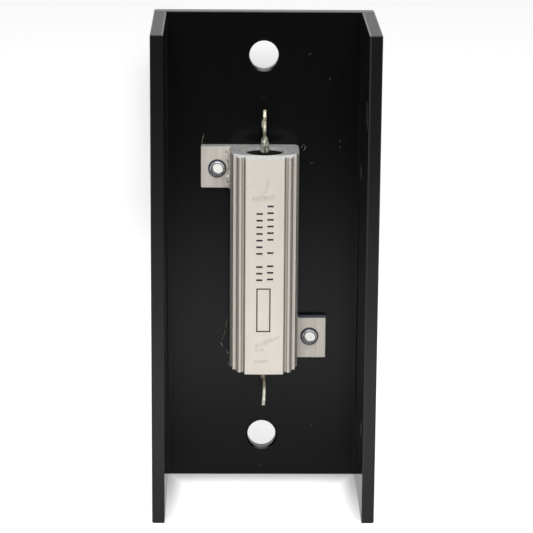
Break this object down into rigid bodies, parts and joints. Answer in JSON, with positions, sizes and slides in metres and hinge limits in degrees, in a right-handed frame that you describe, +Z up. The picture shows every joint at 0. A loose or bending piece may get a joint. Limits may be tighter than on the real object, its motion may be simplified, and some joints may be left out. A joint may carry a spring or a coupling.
{
  "type": "ballast resistor",
  "caption": "Wirewound power resistor in a ribbed aluminium housing with solder tabs, screwed by two diagonal lugs into a black aluminium channel that serves as heat sink.",
  "frame": {"origin": "middle of the channel's lower cut end, on the surface that it stands on", "axes": "+Z up along the channel, +Y towards the web's back face, -Y out of the open side, +X to the right seen from the open side"},
  "size_m": [0.0494, 0.035, 0.11],
  "materials": {
    "black_anodised": "satin black anodised extrusion",
    "ribbed_aluminium": "matt, drawn along the ribs",
    "tinned_metal": "tinned, uneven",
    "solder": "dull, with flux",
    "zinc_steel": "bright zinc plated",
    "black_silicone": "matt moulding",
    "ceramic": "unglazed",
    "resistance_wire": "rolled ribbon",
    "cap_steel": "pressed, plated",
    "compound": "paste"
  },
  "bodies": {
    "root": {"heat_sink_channel": "black_anodised", "resistor_housing": "ribbed_aluminium", "moulding": "black_silicone", "ceramic_core": "ceramic", "resistance_winding": "resistance_wire", "end_cap_upper": "cap_steel", "end_cap_lower": "cap_steel", "terminal_upper": "tinned_metal", "terminal_lower": "tinned_metal", "solder_remnant": "solder", "thermal_compound": "compound", "screw_upper": "zinc_steel", "screw_lower": "zinc_steel"}
  },
  "joints": []
}
